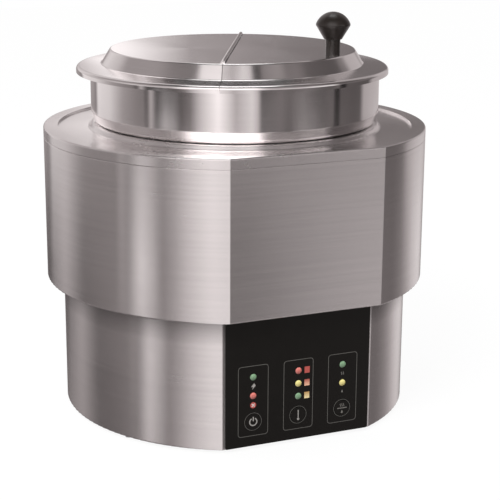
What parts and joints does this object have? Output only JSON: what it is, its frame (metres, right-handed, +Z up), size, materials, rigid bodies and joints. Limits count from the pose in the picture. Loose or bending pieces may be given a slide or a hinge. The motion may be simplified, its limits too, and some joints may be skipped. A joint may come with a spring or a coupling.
{
  "type": "soup kettle",
  "caption": "Round countertop soup kettle: heated well in a steel housing with a flat control front, lift-out inset and a lid with one hinged half.",
  "frame": {"origin": "on the table under the middle of the bounding box", "axes": "+Z up, the control front faces -Y, the cord gland faces +Y"},
  "size_m": [0.37, 0.3542, 0.389],
  "materials": {
    "shell_steel": "brushed",
    "polished_steel": "polished",
    "plain_steel": "galvanised",
    "heater_alloy": "oxidised",
    "spreader_aluminium": "cast",
    "panel_black": "satin",
    "key_black": "satin",
    "lamp_green": "clear",
    "lamp_red": "clear",
    "lamp_yellow": "clear",
    "phenolic_black": "moulded",
    "rubber_black": "matte",
    "nylon_black": "moulded",
    "board_green": "solder mask",
    "fibre_white": "felted",
    "copper": "enamelled",
    "cable_grey": "matte"
  },
  "bodies": {
    "housing": {"base_shell": "shell_steel", "bottom_plate": "plain_steel", "rubber_feet": "rubber_black", "foot_screws": "plain_steel", "foot_nuts": "plain_steel", "plate_screws": "plain_steel", "plate_nuts": "plain_steel", "upper_shell": "shell_steel", "shell_screws": "plain_steel", "shell_nuts": "plain_steel", "top_cover": "shell_steel", "well_pan": "polished_steel", "well_gasket": "rubber_black", "heat_spreader": "spreader_aluminium", "heating_element": "heater_alloy", "element_retainer": "plain_steel", "insulation_pad": "fibre_white", "heat_shield": "plain_steel", "shield_posts": "plain_steel", "heat_limiter": "plain_steel", "band_heater": "heater_alloy", "band_bolt": "plain_steel", "band_nut": "plain_steel", "insulation_wrap": "fibre_white", "temperature_sensor": "plain_steel", "control_panel": "panel_black", "green_lamps": "lamp_green", "red_lamps": "lamp_red", "yellow_lamps": "lamp_yellow", "key_switches": "nylon_black", "control_board": "board_green", "board_spacers": "plain_steel", "board_screws": "plain_steel", "controller_chip": "nylon_black", "board_connector": "nylon_black", "board_cable": "cable_grey", "relay_heat_sink": "spreader_aluminium", "heater_relay": "nylon_black", "transformer_core": "plain_steel", "transformer_coil": "copper", "terminal_block": "nylon_black", "heater_leads": "cable_grey", "cord_gland": "nylon_black", "gland_nut": "nylon_black"},
    "power_key": {"power_button": "key_black"},
    "heat_key": {"heat_button": "key_black"},
    "mode_key": {"mode_button": "key_black"},
    "inset": {"inset_pot": "polished_steel"},
    "lid_fixed": {"lid_fixed_half": "polished_steel", "hinge_leaf_fixed": "polished_steel", "hinge_pin": "polished_steel"},
    "lid_hinged": {"lid_hinged_half": "polished_steel", "hinge_leaf_hinged": "polished_steel", "lid_knob": "phenolic_black", "knob_screw": "plain_steel", "knob_washer": "plain_steel"}
  },
  "joints": [
    {"name": "power_press", "type": "slide", "parent": "housing", "child": "power_key", "axis": [0, 1, 0], "range_m": [0, 0.0006], "stiffness_N_per_m": 800},
    {"name": "heat_press", "type": "slide", "parent": "housing", "child": "heat_key", "axis": [0, 1, 0], "range_m": [0, 0.0006], "stiffness_N_per_m": 800},
    {"name": "mode_press", "type": "slide", "parent": "housing", "child": "mode_key", "axis": [0, 1, 0], "range_m": [0, 0.0006], "stiffness_N_per_m": 800},
    {"name": "inset_lift", "type": "slide", "parent": "housing", "child": "inset", "axis": [0, 0, 1], "range_m": [0, 0.2]},
    {"name": "lid_lift", "type": "slide", "parent": "inset", "child": "lid_fixed", "axis": [0, 0, 1], "range_m": [0, 0.1]},
    {"name": "lid_flip", "type": "hinge", "parent": "lid_fixed", "child": "lid_hinged", "pos_m": [-0.00214, -0.00685, 0.34949], "axis": [-0.454, -0.891, 0], "range_deg": [0, 157]}
  ]
}
